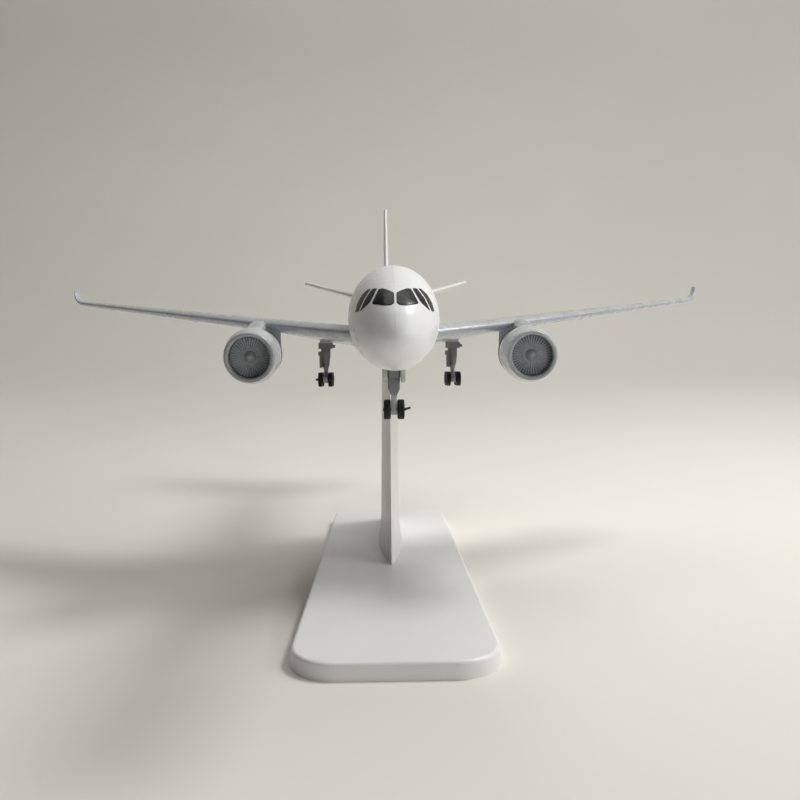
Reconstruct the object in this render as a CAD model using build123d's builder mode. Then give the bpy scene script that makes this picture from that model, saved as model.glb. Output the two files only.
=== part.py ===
from build123d import *
import os
from math import cos, pi, radians, sin, sqrt

# Desk display model of a twin-engined airliner on a two-piece plastic stand.
# Millimetres. +X is the model's port side, +Y runs from nose to tail, +Z is up.
# The origin is on the table, under the middle of the airframe's length.

# ---------------------------------------------------------------- driving dimensions
LENGTH = 200.0
NOSE_Y = -LENGTH / 2
TAIL_Y = LENGTH / 2
AXIS_Z = 72.0  # fuselage centreline above the table

BODY_HALF_WIDTH = 9.0
BODY_HALF_HEIGHT = 10.1
SHELL_WALL = 1.3
NOSE_DROP = 3.0  # the nose tip lies this far under the centreline
SPLIT_DROP = 2.4  # the two shells part on this level under the centreline
PARALLEL_START_Y = -68.0
PARALLEL_END_Y = 30.0

BASE_HEIGHT = 3.8
BASE_FRONT_Y = -82.6
BASE_REAR_Y = 41.4
BASE_FRONT_HALF_WIDTH = 22.2
BASE_REAR_HALF_WIDTH = 17.8
BASE_WALL = 1.6

BELLY_DROP = 12.0  # underside of the belly fairing under the centreline
BELLY_HALF_WIDTH = 9.9
COLUMN_TOP_Z = AXIS_Z - BELLY_DROP

WING_KINK_X = 33.0
WING_TIP_BEND_X = 92.0
TIP_BEND_RADIUS = 4.5

ENGINE_X = 34.0
ENGINE_Y = -40.0  # lip of the inlet
ENGINE_Z = AXIS_Z - 10.4
FAN_RADIUS = 4.85

WHEEL_RADIUS = 2.02
AXLE_RADIUS = 0.35
AXLE_BORE_RADIUS = 0.42
NOSE_GEAR_Y = -73.0
NOSE_AXLE_Z = AXIS_Z - 18.8
MAIN_GEAR_X = 18.0
MAIN_GEAR_Y = 0.0
BOGIE_HALF_BASE = 3.05
BOGIE_TILT = 4.6  # the bogies hang with their rear axle lower
BOGIE_DROP = BOGIE_HALF_BASE * sin(radians(BOGIE_TILT))
MAIN_AXLE_Z = AXIS_Z - 19.55  # middle of the bogie beam
MAIN_FLANGE_TOP = AXIS_Z - 9.1
GEAR_PAD_LENGTH = 4.6
GEAR_PAD_WIDTH = 3.0


def cross_plane(y):
    """Plane across the airframe at station y, with its own x along +X and y along +Z."""
    return Plane.XZ.offset(-y)


def mix(start, end, share):
    return start + (end - start) * share


def mirrored(port_piece):
    """The same piece on the starboard side."""
    with BuildPart() as starboard_piece:
        mirror(port_piece.part, about=Plane.YZ)
    return starboard_piece


# ---------------------------------------------------------------- fuselage lines
NOSE_WIDTH_LENGTH = 25.0
NOSE_CROWN_LENGTH = 31.0
NOSE_KEEL_LENGTH = 19.0
TAIL_END_HALF_WIDTH = 1.2
TAIL_END_TOP = 6.8
TAIL_END_BOTTOM = 3.6


def nose_growth(y, length, power):
    """Grows from 0 at the nose tip to 1 where the parallel body begins."""
    share = min((y - NOSE_Y) / length, 1.0)
    return (1 - (1 - share) ** 2) ** power


def tail_share(y):
    return max((y - PARALLEL_END_Y) / (TAIL_Y - PARALLEL_END_Y), 0.0)


def body_half_width(y):
    nose = BODY_HALF_WIDTH * nose_growth(y, NOSE_WIDTH_LENGTH, 0.5)
    return nose - (BODY_HALF_WIDTH - TAIL_END_HALF_WIDTH) * tail_share(y) ** 1.8


def body_top(y):
    rise = (BODY_HALF_HEIGHT + NOSE_DROP) * nose_growth(y, NOSE_CROWN_LENGTH, 0.6)
    return rise - NOSE_DROP - (BODY_HALF_HEIGHT - TAIL_END_TOP) * tail_share(y) ** 2


def body_bottom(y):
    fall = (BODY_HALF_HEIGHT - NOSE_DROP) * nose_growth(y, NOSE_KEEL_LENGTH, 0.5)
    return -fall - NOSE_DROP + (BODY_HALF_HEIGHT + TAIL_END_BOTTOM) * tail_share(y) ** 1.7


def body_section(y, inset=0.0):
    """Elliptical cross-section of the fuselage at station y, or of its inside wall."""
    height = body_top(y) - body_bottom(y)
    centre = Vector(0, y, AXIS_Z + (body_top(y) + body_bottom(y)) / 2)
    plane = Plane(origin=centre, x_dir=(1, 0, 0), z_dir=(0, -1, 0))
    with BuildSketch(plane) as section:
        Ellipse(body_half_width(y) - inset, height / 2 - inset)
    return section.sketch


def between(start, end, count):
    return [mix(start, end, i / (count - 1)) for i in range(count)]


# Stations crowd towards the nose tip, where the section grows fastest.
NOSE_STATIONS = [mix(NOSE_Y, PARALLEL_START_Y, (i / 8) ** 2) for i in range(1, 9)]
TAIL_STATIONS = between(PARALLEL_END_Y, TAIL_Y, 8)
BODY_RUN_IN = 4.0  # straight length at the end of each lofted stretch, which keeps it tangent
CAVITY_START_Y = -88.0
CAVITY_END_Y = 64.0


def fuselage_outside():
    tip = Vertex(0, NOSE_Y, AXIS_Z - NOSE_DROP)
    nose = [body_section(y) for y in NOSE_STATIONS + [PARALLEL_START_Y + BODY_RUN_IN]]
    tail = [body_section(y) for y in [PARALLEL_END_Y - BODY_RUN_IN] + TAIL_STATIONS]
    with BuildPart() as body:
        loft([tip] + nose)
        loft([nose[-1], tail[0]])
        loft(tail)
    return body


def fuselage_inside():
    nose = [body_section(y, SHELL_WALL) for y in between(CAVITY_START_Y, PARALLEL_START_Y, 5)]
    tail = [body_section(y, SHELL_WALL) for y in between(PARALLEL_END_Y, CAVITY_END_Y, 5)]
    with BuildPart() as cavity:
        loft(nose)
        loft([nose[-1], tail[0]])
        loft(tail)
    return cavity


# ---------------------------------------------------------------- belly fairing
# station, half width, underside and upper side under the centreline
BELLY_STATIONS = (
    (-52.0, 3.4, 8.6, 4.0),
    (-46.0, 6.8, 10.0, 2.6),
    (-38.0, 9.0, 11.4, 1.2),
    (-28.0, BELLY_HALF_WIDTH, BELLY_DROP, 0.4),
    (12.0, BELLY_HALF_WIDTH, BELLY_DROP, 0.4),
    (22.0, 8.7, 11.3, 1.2),
    (30.0, 6.2, 10.0, 2.6),
    (36.0, 3.4, 8.6, 4.6),
)


def belly_fairing():
    sections = []
    for y, half_width, underside, upper_side in BELLY_STATIONS:
        centre = Vector(0, y, AXIS_Z - (underside + upper_side) / 2)
        plane = Plane(origin=centre, x_dir=(1, 0, 0), z_dir=(0, -1, 0))
        with BuildSketch(plane) as section:
            Ellipse(half_width, (underside - upper_side) / 2)
        sections.append(section.sketch)
    with BuildPart() as fairing:
        loft(sections[:4])
        loft(sections[3:5])
        loft(sections[4:])
    return fairing


# ---------------------------------------------------------------- wings
# Each station: x, leading edge y, chord, leading edge z, drop of the trailing edge, thickness, tilt
WING_ROOT = (6.5, -40.7, 47.0, -5.0, 5.3, 5.0, 0)
WING_KINK = (WING_KINK_X, -21.6, 27.0, -3.2, 0.9, 3.35, 0)
WING_BEND = (WING_TIP_BEND_X, 19.1, 8.7, 2.15, 0.3, 1.35, 0)
TIP_END_TILT = 76
TIP_EXTENSION = 0.5
TIP_LEADING_Y = 26.0
TIP_CHORD = 3.0
TIP_THICKNESS = 0.6
TRAILING_EDGE = 0.32
CAMBER = 0.045
OUTLINE_STEPS = 7


def aerofoil_half_thickness(share):
    """Half thickness of the classic four-digit aerofoil, for a thickness of 1."""
    bend = -0.1260 * share - 0.3516 * share**2 + 0.2843 * share**3 - 0.1036 * share**4
    return 5 * (0.2969 * sqrt(share) + bend)


def wing_section(x, leading_y, chord, leading_z, drop, thickness, tilt):
    """Aerofoil across the wing at station x, tilted about its chord line."""
    outward = (cos(radians(tilt)), 0, sin(radians(tilt)))
    plane = Plane(origin=(x, leading_y, AXIS_Z + leading_z), x_dir=(0, 1, 0), z_dir=outward)
    upper = []
    lower = []
    for i in range(OUTLINE_STEPS + 1):
        share = (1 - cos(pi * i / OUTLINE_STEPS)) / 2
        centre = -drop * share + CAMBER * thickness * 4 * share * (1 - share)
        half = thickness * aerofoil_half_thickness(share) + TRAILING_EDGE / 2 * share
        upper.append((chord * share, centre + half))
        lower.append((chord * share, centre - half))
    with BuildSketch(plane) as section:
        with BuildLine():
            Spline(*reversed(upper), *lower[1:])
            Line(lower[-1], upper[-1])
        make_face()
    return section.sketch


def tip_stations():
    """Stations round the upward bend of the wing tip, ending in a short straight stretch."""
    steps = 5
    stations = []
    arc_length = TIP_BEND_RADIUS * radians(TIP_END_TILT)
    whole = arc_length + TIP_EXTENSION
    for i in range(steps + 1):
        tilt = TIP_END_TILT * i / steps
        x = WING_TIP_BEND_X + TIP_BEND_RADIUS * sin(radians(tilt))
        z = WING_BEND[3] + TIP_BEND_RADIUS * (1 - cos(radians(tilt)))
        stations.append((x, z, tilt, arc_length * i / steps / whole))
    end_x = stations[-1][0] + TIP_EXTENSION * cos(radians(TIP_END_TILT))
    end_z = stations[-1][1] + TIP_EXTENSION * sin(radians(TIP_END_TILT))
    stations.append((end_x, end_z, TIP_END_TILT, 1.0))
    return stations


TONGUE_FRONT_Y = -30.0
TONGUE_REAR_Y = -13.0
TONGUE_INNER_X = 1.0
TONGUE_OUTER_X = 8.0
TONGUE_TOP = AXIS_Z - 5.2
TONGUE_BOTTOM = AXIS_Z - 7.6
WING_SCREW_X = 4.0
WING_SCREW_YS = (-26.0, -17.0)
WING_SCREW_RADIUS = 0.7

TRACK_FAIRINGS = ((38.5, 8.0, 6.5), (57.0, 13.0, 6.0))  # x, middle y, half length
TRACK_FAIRING_RADIUS = 0.9
TRACK_FAIRING_END_RADIUS = 0.25


def wing_chord_z(x, y):
    """Height of the wing's chord line at the point x, y of its plan."""
    inner, outer = (WING_ROOT, WING_KINK) if x < WING_KINK_X else (WING_KINK, WING_BEND)
    share = (x - inner[0]) / (outer[0] - inner[0])
    leading_y, chord, leading_z, drop = (mix(inner[i], outer[i], share) for i in range(1, 5))
    return AXIS_Z + leading_z - drop * (y - leading_y) / chord


def cast_wing():
    root = wing_section(*WING_ROOT)
    kink = wing_section(*WING_KINK)
    bend = wing_section(*WING_BEND)
    tip = []
    for x, z, tilt, share in tip_stations():
        leading_y = mix(WING_BEND[1], TIP_LEADING_Y, share)
        chord = mix(WING_BEND[2], TIP_CHORD, share)
        thickness = mix(WING_BEND[5], TIP_THICKNESS, share)
        tip.append(wing_section(x, leading_y, chord, z, mix(WING_BEND[4], 0.0, share), thickness, tilt))
    with BuildPart() as wing:
        loft([root, kink])
        loft([kink, bend])
        loft(tip)
        # root tongue that lies on the lower shell's cradles
        with BuildSketch(Plane.XY.offset(TONGUE_BOTTOM)):
            with Locations(((TONGUE_INNER_X + TONGUE_OUTER_X) / 2, (TONGUE_FRONT_Y + TONGUE_REAR_Y) / 2)):
                Rectangle(TONGUE_OUTER_X - TONGUE_INNER_X, TONGUE_REAR_Y - TONGUE_FRONT_Y)
        extrude(amount=TONGUE_TOP - TONGUE_BOTTOM)
        with Locations([(WING_SCREW_X, y, TONGUE_TOP) for y in WING_SCREW_YS]):
            Hole(WING_SCREW_RADIUS, depth=TONGUE_TOP - TONGUE_BOTTOM)
        # pad on the underside that the main gear's flange seats on
        pad_front_y = MAIN_GEAR_Y - GEAR_PAD_LENGTH / 2
        pad_rear_y = MAIN_GEAR_Y + GEAR_PAD_LENGTH / 2
        with BuildSketch(Plane.YZ.offset(MAIN_GEAR_X - GEAR_PAD_WIDTH / 2)):
            with BuildLine():
                Polyline(
                    (pad_front_y, MAIN_FLANGE_TOP),
                    (pad_rear_y, MAIN_FLANGE_TOP),
                    (pad_rear_y, wing_chord_z(MAIN_GEAR_X, pad_rear_y)),
                    (pad_front_y, wing_chord_z(MAIN_GEAR_X, pad_front_y)),
                    close=True,
                )
            make_face()
        extrude(amount=GEAR_PAD_WIDTH)
        # slender turned fairings over the flap tracks, sunk into the trailing edge
        for x, middle_y, half_length in TRACK_FAIRINGS:
            z = wing_chord_z(x, middle_y) - TRACK_FAIRING_RADIUS
            with BuildSketch(Plane.XY.offset(z)):
                with BuildLine():
                    ThreePointArc(
                        (x + TRACK_FAIRING_END_RADIUS, middle_y - half_length),
                        (x + TRACK_FAIRING_RADIUS, middle_y),
                        (x + TRACK_FAIRING_END_RADIUS, middle_y + half_length),
                    )
                    Polyline(
                        (x + TRACK_FAIRING_END_RADIUS, middle_y + half_length),
                        (x, middle_y + half_length),
                        (x, middle_y - half_length),
                        (x + TRACK_FAIRING_END_RADIUS, middle_y - half_length),
                    )
                make_face()
            revolve(axis=Axis((x, middle_y, z), (0, 1, 0)))
    return wing


# ---------------------------------------------------------------- engine pylon and core
# Each section: y, reach inboard and outboard of the engine's axis, top and bottom under the centreline
PYLON_STATIONS = (
    (-22.0, 5.8, 2.2, 3.4, 10.9),
    (-16.0, 4.9, 2.2, 3.7, 10.6),
    (-8.0, 3.6, 2.0, 4.3, 9.6),
    (0.0, 2.6, 1.7, 5.0, 8.0),
    (8.0, 1.2, 1.2, 5.8, 6.8),
)
# turned engine core: radius and y, with a step where the tail cone begins
CORE_OUTLINE = ((4.4, -27.0), (4.4, -20.0), (3.3, -12.0), (2.2, -12.0), (0.6, -7.0))
CORE_FRONT_Y = CORE_OUTLINE[0][1]
CORE_REAR_Y = CORE_OUTLINE[-1][1]
CORE_BORE_RADIUS = 1.2
CORE_BORE_DEPTH = 5.0


def pylon_section(y, inner_reach, outer_reach, top_drop, bottom_drop):
    width = inner_reach + outer_reach
    height = bottom_drop - top_drop
    with BuildSketch(cross_plane(y)) as section:
        with Locations((ENGINE_X - inner_reach, AXIS_Z - bottom_drop)):
            Rectangle(width, height, align=(Align.MIN, Align.MIN))
    return section.sketch


def cast_pylon(wing):
    """Block under the wing that narrows towards the tail, with the turned engine core under it."""
    with BuildPart() as pylon:
        loft([pylon_section(*station) for station in PYLON_STATIONS])
        # half plane through the engine's axis: x is the radius, y the station
        with BuildSketch(Plane(origin=(ENGINE_X, 0, ENGINE_Z), x_dir=(1, 0, 0), z_dir=(0, 0, 1))):
            with BuildLine():
                Polyline((0, CORE_FRONT_Y), *CORE_OUTLINE, (0, CORE_REAR_Y), close=True)
            make_face()
        revolve(axis=Axis((ENGINE_X, 0, ENGINE_Z), (0, 1, 0)))
        with Locations(Plane(origin=(ENGINE_X, CORE_FRONT_Y, ENGINE_Z), z_dir=(0, -1, 0))):
            Hole(CORE_BORE_RADIUS, depth=CORE_BORE_DEPTH)
        add(wing.part, mode=Mode.SUBTRACT)
    return pylon


# ---------------------------------------------------------------- nacelle and fan
NACELLE_LENGTH = 19.0
# distance behind the lip and radius
LIP = (0.0, 5.4)
BARREL_OUTLINE = ((1.0, 6.15), (4.0, 6.7), (8.5, 6.85), (14.0, 6.4), (NACELLE_LENGTH, 5.35))
THROAT_START = 2.0
THROAT_LEAD_IN = (0.5, 4.98)
FAN_RECESS = 3.0  # the fan's face behind the lip
FAN_THICKNESS = 2.0
SPIGOT_GAP = 0.5  # left at the bottom of the core's bore
HUMP_WIDTH = 4.3
HUMP_ROUNDING = 1.5
HUMP_FOOT = -6.2
# the hump's top line: y and height over the centreline
HUMP_CREST = ((-35.5, -4.4), (-31.0, -3.3), (-25.0, -2.45), (-19.0, -2.2))
RIB_COUNT = 40
RIB_WIDTH = 0.24
RIB_HEIGHT = 0.8
RIB_ROOT = 0.2
RIB_TIP_RADIUS = FAN_RADIUS - 0.1
HUB_RADIUS = 2.1  # the ribs run together inside this radius
HUB_HEIGHT = RIB_HEIGHT - RIB_ROOT
SPINNER_RADIUS = 1.45
SPINNER_LENGTH = 1.5


def cast_nacelle(pylon, wing):
    """Turned barrel, open from end to end, with the pylon's hump on top."""
    axis = Axis((ENGINE_X, ENGINE_Y, ENGINE_Z), (0, 1, 0))
    crest_start, crest_end = HUMP_CREST[0], HUMP_CREST[-1]
    plane = Plane(origin=axis.position, x_dir=(0, 1, 0), z_dir=(1, 0, 0))
    side = Plane(origin=(ENGINE_X - HUMP_WIDTH / 2, 0, AXIS_Z), x_dir=(0, 1, 0), z_dir=(1, 0, 0))
    with BuildPart() as hump:
        with BuildSketch(side):
            with BuildLine():
                Spline(*HUMP_CREST, tangents=((1, 0.6), (1, 0)))
                Polyline(crest_end, (crest_end[0], HUMP_FOOT), (crest_start[0], HUMP_FOOT), crest_start)
            make_face()
        extrude(amount=HUMP_WIDTH)
        crest = hump.faces().sort_by(Axis.Z)[-1]
        fillet(crest.edges().filter_by(Axis.X, reverse=True), HUMP_ROUNDING)
    with BuildPart() as nacelle:
        with BuildSketch(plane):
            with BuildLine():
                Spline(LIP, *BARREL_OUTLINE, tangents=((0, 1), (1, -0.22)))
                Polyline(BARREL_OUTLINE[-1], (NACELLE_LENGTH, FAN_RADIUS), (THROAT_START, FAN_RADIUS))
                Spline((THROAT_START, FAN_RADIUS), THROAT_LEAD_IN, LIP, tangents=((-1, 0), (0, 1)))
            make_face()
        revolve(axis=axis)
        # hump: a rounded ridge that rises from the barrel to the wing's leading edge
        add(hump.part)
        with BuildSketch(Plane(origin=axis.position, z_dir=(0, 1, 0))):
            Circle(FAN_RADIUS)
        extrude(amount=NACELLE_LENGTH, mode=Mode.SUBTRACT)
        add(wing.part, mode=Mode.SUBTRACT)
        add(pylon.part, mode=Mode.SUBTRACT)
    return nacelle


def moulded_fan():
    """Fixed insert: ribbed disc, domed spinner, and a spigot that holds it in the core."""
    face_y = ENGINE_Y + FAN_RECESS
    spigot_end = CORE_FRONT_Y + CORE_BORE_DEPTH - SPIGOT_GAP - face_y
    face = Plane(origin=(ENGINE_X, face_y, ENGINE_Z), x_dir=(1, 0, 0), z_dir=(0, -1, 0))
    # turned body in a half plane: x is the radius, y the distance behind the fan's face
    turning_plane = Plane(origin=face.origin, x_dir=(1, 0, 0), z_dir=(0, 0, 1))
    with BuildPart() as fan:
        with BuildSketch(turning_plane):
            with BuildLine():
                Polyline(
                    (0, spigot_end),
                    (CORE_BORE_RADIUS, spigot_end),
                    (CORE_BORE_RADIUS, FAN_THICKNESS),
                    (FAN_RADIUS, FAN_THICKNESS),
                    (FAN_RADIUS, 0),
                    (HUB_RADIUS, 0),
                    (HUB_RADIUS, -HUB_HEIGHT),
                    (SPINNER_RADIUS, -HUB_HEIGHT),
                )
                Spline(
                    (SPINNER_RADIUS, -HUB_HEIGHT),
                    (0.6 * SPINNER_RADIUS, -HUB_HEIGHT - 0.66 * SPINNER_LENGTH),
                    (0, -HUB_HEIGHT - SPINNER_LENGTH),
                    tangents=((-0.2, -1), (-1, 0)),
                )
                Line((0, -HUB_HEIGHT - SPINNER_LENGTH), (0, spigot_end))
            make_face()
        revolve(axis=Axis(face.origin, (0, 1, 0)))
        # each rib is rooted a little inside the hub and the disc
        rib_start = HUB_RADIUS - RIB_ROOT
        with BuildSketch(face.offset(-RIB_ROOT)):
            with PolarLocations((rib_start + RIB_TIP_RADIUS) / 2, RIB_COUNT):
                Rectangle(RIB_TIP_RADIUS - rib_start, RIB_WIDTH)
        extrude(amount=RIB_HEIGHT)
    return fan


# ---------------------------------------------------------------- tail
FIN_ROOT_Z = AXIS_Z + 7.0
FIN_TOP_Z = AXIS_Z + 36.1
FIN_ROOT = (57.5, 91.8, 1.8)  # front y, rear y, thickness
FIN_TOP = (86.0, 98.0, 1.15)
TAILPLANE_ROOT_X = 1.2
TAILPLANE_TIP_X = 30.8
TAILPLANE_ROOT_Z = AXIS_Z + 1.0
TAILPLANE_TIP_Z = AXIS_Z + 8.9
TAILPLANE_ROOT = (68.0, 88.0, 2.1)
TAILPLANE_TIP = (89.5, 96.0, 1.4)
PLATE_REAR_EDGE = 0.36


def plate_section(plane, front, rear, thickness):
    """Flat moulded blade: small round nose, flat middle and a thin rear edge."""
    chord = rear - front
    nose = 0.3 * thickness
    full_start = front + 0.22 * chord
    taper_start = rear - 0.4 * chord
    half = thickness / 2
    rear_half = PLATE_REAR_EDGE / 2
    with BuildSketch(plane) as section:
        with BuildLine():
            ThreePointArc((front + nose, nose), (front, 0), (front + nose, -nose))
            Polyline(
                (front + nose, -nose),
                (full_start, -half),
                (taper_start, -half),
                (rear, -rear_half),
                (rear, rear_half),
                (taper_start, half),
                (full_start, half),
                (front + nose, nose),
            )
        make_face()
    return section.sketch


def moulded_fin():
    with BuildPart() as fin:
        root = Plane(origin=(0, 0, FIN_ROOT_Z), x_dir=(0, 1, 0), z_dir=(0, 0, 1))
        top = Plane(origin=(0, 0, FIN_TOP_Z), x_dir=(0, 1, 0), z_dir=(0, 0, 1))
        loft([plate_section(root, *FIN_ROOT), plate_section(top, *FIN_TOP)])
    return fin


def moulded_tailplane():
    outward = (TAILPLANE_TIP_X - TAILPLANE_ROOT_X, 0, TAILPLANE_TIP_Z - TAILPLANE_ROOT_Z)
    root = Plane(origin=(TAILPLANE_ROOT_X, 0, TAILPLANE_ROOT_Z), x_dir=(0, 1, 0), z_dir=outward)
    tip = Plane(origin=(TAILPLANE_TIP_X, 0, TAILPLANE_TIP_Z), x_dir=(0, 1, 0), z_dir=outward)
    with BuildPart() as tailplane:
        loft([plate_section(root, *TAILPLANE_ROOT), plate_section(tip, *TAILPLANE_TIP)])
    return tailplane


# ---------------------------------------------------------------- landing gear
TYRE_SHOULDER = 0.32
HUB_DISH_RADIUS = 1.17
HUB_DISH_DEPTH = 0.3
HUB_CAP_RADIUS = 0.62
HUB_CAP_SET_BACK = 0.05


def wheel(x, y, z, width, outward):
    """Rubber-look wheel, pressed on its axle, with a dished hub on the outer side."""
    plane = Plane(origin=(x, y, z), x_dir=(outward, 0, 0), z_dir=(0, 1, 0))
    half = width / 2
    shoulder = TYRE_SHOULDER
    dish = half - HUB_DISH_DEPTH
    cap = half - HUB_CAP_SET_BACK
    # in the sketch, x runs outward along the axle and y is the radius
    with BuildPart() as tyre:
        with BuildSketch(plane):
            with BuildLine():
                Polyline((-half, AXLE_RADIUS), (-half, WHEEL_RADIUS - shoulder))
                RadiusArc((-half, WHEEL_RADIUS - shoulder), (-half + shoulder, WHEEL_RADIUS), shoulder)
                Line((-half + shoulder, WHEEL_RADIUS), (half - shoulder, WHEEL_RADIUS))
                RadiusArc((half - shoulder, WHEEL_RADIUS), (half, WHEEL_RADIUS - shoulder), shoulder)
                Polyline(
                    (half, WHEEL_RADIUS - shoulder),
                    (half, HUB_DISH_RADIUS),
                    (dish, HUB_DISH_RADIUS - 0.5 * HUB_DISH_DEPTH),
                    (dish, HUB_CAP_RADIUS),
                    (cap, HUB_CAP_RADIUS),
                    (cap, AXLE_RADIUS),
                    (-half, AXLE_RADIUS),
                )
            make_face()
        revolve(axis=Axis((x, y, z), (1, 0, 0)))
    return tyre


def wheelset(x, y, z, half_track, width, stub):
    """Axle along X with a wheel pressed on each end; stub gives how far its -X and +X ends stand out."""
    outer = half_track + width / 2
    with BuildPart() as axle:
        with BuildSketch(Plane.YZ.offset(x - outer - stub[0])):
            with Locations((y, z)):
                Circle(AXLE_RADIUS)
        extrude(amount=2 * outer + stub[0] + stub[1])
    port_wheel = wheel(x + half_track, y, z, width, 1)
    starboard_wheel = wheel(x - half_track, y, z, width, -1)
    return axle, port_wheel, starboard_wheel


NOSE_WHEEL_X = 1.38
NOSE_WHEEL_WIDTH = 1.45
NOSE_FLANGE_TOP = AXIS_Z - 9.4
NOSE_FLANGE_FOOT = AXIS_Z - 12.2
NOSE_FLANGE_SIZE = (2.6, 4.6)
NOSE_LEG_HALF_DEPTH = 0.95
NOSE_LEG_HALF_WIDTH = 1.22
NOSE_LEG_SHOULDER_Z = AXIS_Z - 14.4
NOSE_LEG_NECK_Z = AXIS_Z - 15.9
NOSE_FOOT_HALF_WIDTH = 0.58
NOSE_FOOT_RADIUS = 1.15
BENT_END_LENGTH = 1.2
BENT_END_ANGLE = 15
DOOR_X = 1.85
DOOR_SPLAY = 10
DOOR_LENGTH = 5.5
DOOR_TOP = AXIS_Z - 9.2
DOOR_HEIGHT = 4.0
DOOR_CORNER_RADIUS = 0.8
DOOR_THICKNESS = 0.8
BENT_END_RADIUS = 0.24


def symmetric_profile(port_side):
    """Closed outline from the points of its +X half, listed from bottom to top."""
    starboard_side = [(-x, z) for x, z in reversed(port_side)]
    return Polyline(*port_side, *starboard_side, close=True)


def nose_leg():
    """Flange, wide upper cylinder, neck and rounded foot that holds the axle."""
    with BuildPart() as leg:
        with BuildSketch(cross_plane(NOSE_GEAR_Y + NOSE_LEG_HALF_DEPTH)):
            with BuildLine():
                symmetric_profile(
                    (
                        (NOSE_FOOT_HALF_WIDTH, NOSE_AXLE_Z),
                        (NOSE_FOOT_HALF_WIDTH, NOSE_LEG_NECK_Z),
                        (NOSE_LEG_HALF_WIDTH, NOSE_LEG_SHOULDER_Z),
                        (NOSE_LEG_HALF_WIDTH, NOSE_FLANGE_FOOT),
                    )
                )
            make_face()
        extrude(amount=2 * NOSE_LEG_HALF_DEPTH)
        fillet(leg.edges().filter_by(Axis.Z), 0.35)
        with BuildSketch(Plane.XY.offset(NOSE_FLANGE_FOOT)):
            with Locations((0, NOSE_GEAR_Y)):
                RectangleRounded(*NOSE_FLANGE_SIZE, 0.5)
        extrude(amount=NOSE_FLANGE_TOP - NOSE_FLANGE_FOOT)
        with BuildSketch(Plane.YZ.offset(-NOSE_FOOT_HALF_WIDTH)):
            with Locations((NOSE_GEAR_Y, NOSE_AXLE_Z)):
                Circle(NOSE_FOOT_RADIUS)
        extrude(amount=2 * NOSE_FOOT_HALF_WIDTH)
        with Locations(Plane(origin=(0, NOSE_GEAR_Y, NOSE_AXLE_Z), z_dir=(1, 0, 0))):
            Hole(AXLE_BORE_RADIUS)
    return leg


def nose_door():
    """Thin plate beside the leg that leans outward at the bottom."""
    plane = Plane(origin=(DOOR_X, NOSE_GEAR_Y, DOOR_TOP), x_dir=(0, 1, 0), z_dir=(1, 0, 0))
    with BuildPart() as door:
        with BuildSketch(plane.rotated((-DOOR_SPLAY, 0, 0))):
            RectangleRounded(DOOR_LENGTH, 2 * DOOR_HEIGHT, DOOR_CORNER_RADIUS)
            Rectangle(2 * DOOR_LENGTH, DOOR_HEIGHT, align=(Align.CENTER, Align.MIN), mode=Mode.SUBTRACT)
        extrude(amount=DOOR_THICKNESS / 2, both=True)
    return door


def nose_axle():
    """Axle pin whose port end is bent slightly up."""
    axle, port_wheel, starboard_wheel = wheelset(
        0, NOSE_GEAR_Y, NOSE_AXLE_Z, NOSE_WHEEL_X, NOSE_WHEEL_WIDTH, (0.12, 0.25)
    )
    bend = (NOSE_WHEEL_X + NOSE_WHEEL_WIDTH / 2 + 0.1, NOSE_GEAR_Y, NOSE_AXLE_Z)
    direction = (cos(radians(BENT_END_ANGLE)), 0, sin(radians(BENT_END_ANGLE)))
    with BuildPart() as bent_axle:
        add(axle.part)
        with BuildSketch(Plane(origin=bend, z_dir=direction)):
            Circle(BENT_END_RADIUS)
        extrude(amount=BENT_END_LENGTH)
        fillet(bent_axle.faces().sort_by(Axis.X)[-1].edges(), BENT_END_RADIUS / 2)
    return bent_axle, port_wheel, starboard_wheel


MAIN_WHEEL_X = 1.4
MAIN_WHEEL_WIDTH = 1.25
MAIN_FLANGE_FOOT = AXIS_Z - 10.7
MAIN_SPIGOT_RADIUS = 0.6
MAIN_SPIGOT_HEIGHT = 1.0
MAIN_FOOT_HALF_WIDTH = 0.62
BOGIE_HALF_RUN = BOGIE_HALF_BASE * cos(radians(BOGIE_TILT))
BOGIE_AXLES = (
    ("front", MAIN_GEAR_Y - BOGIE_HALF_RUN, MAIN_AXLE_Z + BOGIE_DROP),
    ("rear", MAIN_GEAR_Y + BOGIE_HALF_RUN, MAIN_AXLE_Z - BOGIE_DROP),
)
BOGIE_END_RADIUS = 0.95
MAIN_FLANGE_SIZE = (3.9, 4.0)
LUG_SIZE = (1.4, 1.6, 0.8)
LUG_REACH = 1.95  # from the leg's axis to the middle of the lug
# turned part of the leg: radius and height against the centreline
MAIN_LEG_OUTLINE = ((MAIN_FOOT_HALF_WIDTH, -16.8), (1.0, -15.4), (1.3, -13.0), (1.35, -10.6))
# door strip: y against the leg's axis and height against the centreline
STRIP_OUTLINE = ((-1.3, -11.6), (1.3, -11.6), (1.3, -15.2), (0.6, -16.1), (-1.3, -16.1))
STRIP_X = -1.75
STRIP_THICKNESS = 0.85
HINGE_BOSS_X = -2.1
HINGE_BOSS_RADIUS = 0.6


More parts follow.
